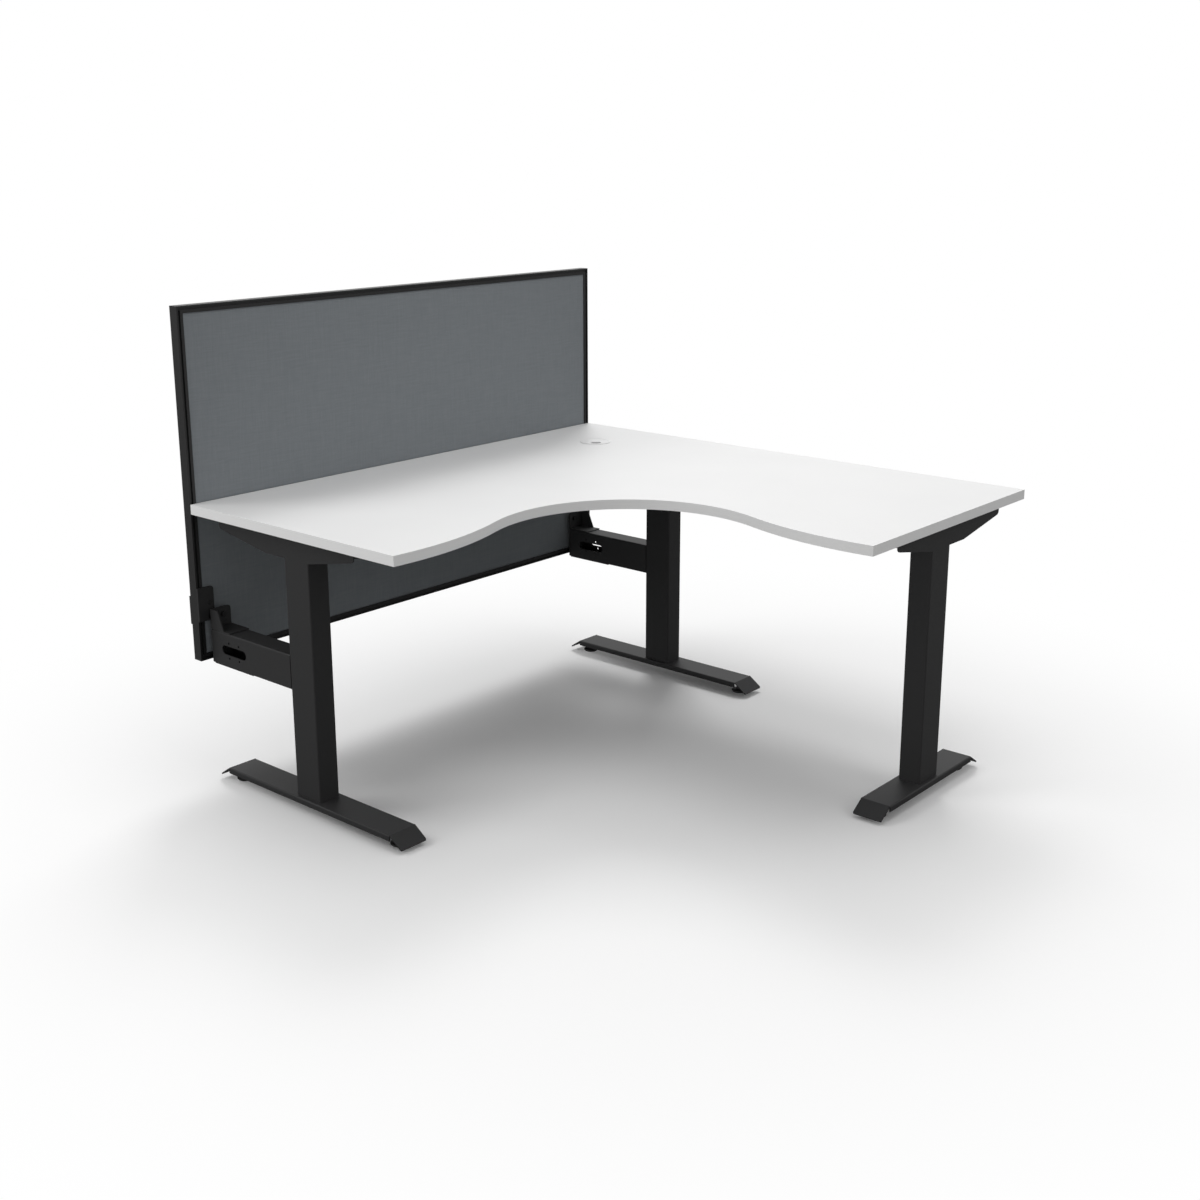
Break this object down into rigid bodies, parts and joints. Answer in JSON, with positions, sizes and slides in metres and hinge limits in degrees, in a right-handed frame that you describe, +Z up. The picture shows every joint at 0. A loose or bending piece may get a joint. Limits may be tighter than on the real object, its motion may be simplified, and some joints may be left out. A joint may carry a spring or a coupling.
{
  "type": "corner workstation",
  "caption": "L-shaped corner desk with a wave front edge on steel T-legs, and a tall framed fabric screen carried on arms behind one wing.",
  "frame": {"origin": "middle of the object's bounding box, on the floor under the glides", "axes": "+Z is up, +X runs along the right wing away from the screen, +Y points to the right wing's back edge"},
  "size_m": [1.542, 1.5, 1.219],
  "materials": {
    "white_board": "satin white melamine facing",
    "edge_plastic": "matt white edge band",
    "white_plastic": "satin white moulded plastic",
    "black_powder_coat": "fine-textured satin black powder coat on steel",
    "black_aluminium": "satin black powder coat on extruded aluminium",
    "plain_aluminium": "plain cast aluminium",
    "black_steel": "blackened steel",
    "zinc_steel": "zinc-plated steel",
    "black_plastic": "matt black moulded plastic",
    "core_board": "plain chipboard",
    "grey_fabric": "plain-woven mid-grey upholstery fabric"
  },
  "bodies": {
    "desk": {"angle_bolts": "black_steel", "arm_a_angle": "black_powder_coat", "arm_a_base": "black_powder_coat", "arm_a_cap": "black_plastic", "arm_a_tube": "black_powder_coat", "arm_b_angle": "black_powder_coat", "arm_b_base": "black_powder_coat", "arm_b_cap": "black_plastic", "arm_b_tube": "black_powder_coat", "arm_screws": "black_steel", "bracket_screws": "zinc_steel", "clamp_a_front": "black_powder_coat", "clamp_a_rear": "black_powder_coat", "clamp_b_front": "black_powder_coat", "clamp_b_rear": "black_powder_coat", "clamp_bolts": "black_steel", "clamp_nuts": "black_steel", "corner_keys": "plain_aluminium", "glide_nuts": "black_powder_coat", "grommet_liner": "white_plastic", "inserts": "zinc_steel", "leg_a_bracket": "black_powder_coat", "leg_a_column": "black_powder_coat", "leg_a_foot": "black_powder_coat", "leg_b_bracket": "black_powder_coat", "leg_b_column": "black_powder_coat", "leg_b_foot": "black_powder_coat", "leg_c_bracket": "black_powder_coat", "leg_c_column": "black_powder_coat", "leg_c_foot": "black_powder_coat", "screen_core": "core_board", "screen_fabric_back": "grey_fabric", "screen_fabric_front": "grey_fabric", "screen_rail_bottom": "black_aluminium", "screen_rail_top": "black_aluminium", "screen_stile_a": "black_aluminium", "screen_stile_b": "black_aluminium", "spacers": "black_steel", "top_board": "white_board", "top_edge_band": "edge_plastic"},
    "glide_a_front_body": {"glide_a_front": "black_plastic"},
    "glide_a_rear_body": {"glide_a_rear": "black_plastic"},
    "glide_b_front_body": {"glide_b_front": "black_plastic"},
    "glide_b_rear_body": {"glide_b_rear": "black_plastic"},
    "glide_c_front_body": {"glide_c_front": "black_plastic"},
    "glide_c_rear_body": {"glide_c_rear": "black_plastic"},
    "grommet_cap_body": {"grommet_cap": "white_plastic"}
  },
  "joints": [
    {"name": "glide_a_front_screw_out", "type": "slide", "parent": "desk", "child": "glide_a_front_body", "axis": [0, 0, -1], "range_m": [0, 0.01]},
    {"name": "glide_a_rear_screw_out", "type": "slide", "parent": "desk", "child": "glide_a_rear_body", "axis": [0, 0, -1], "range_m": [0, 0.01]},
    {"name": "glide_b_front_screw_out", "type": "slide", "parent": "desk", "child": "glide_b_front_body", "axis": [0, 0, -1], "range_m": [0, 0.01]},
    {"name": "glide_b_rear_screw_out", "type": "slide", "parent": "desk", "child": "glide_b_rear_body", "axis": [0, 0, -1], "range_m": [0, 0.01]},
    {"name": "glide_c_front_screw_out", "type": "slide", "parent": "desk", "child": "glide_c_front_body", "axis": [0, 0, -1], "range_m": [0, 0.01]},
    {"name": "glide_c_rear_screw_out", "type": "slide", "parent": "desk", "child": "glide_c_rear_body", "axis": [0, 0, -1], "range_m": [0, 0.01]},
    {"name": "grommet_cap_turn", "type": "hinge", "parent": "desk", "child": "grommet_cap_body", "pos_m": [-0.502, 0.523, 0.73], "axis": [0, 0, 1], "continuous": true}
  ]
}
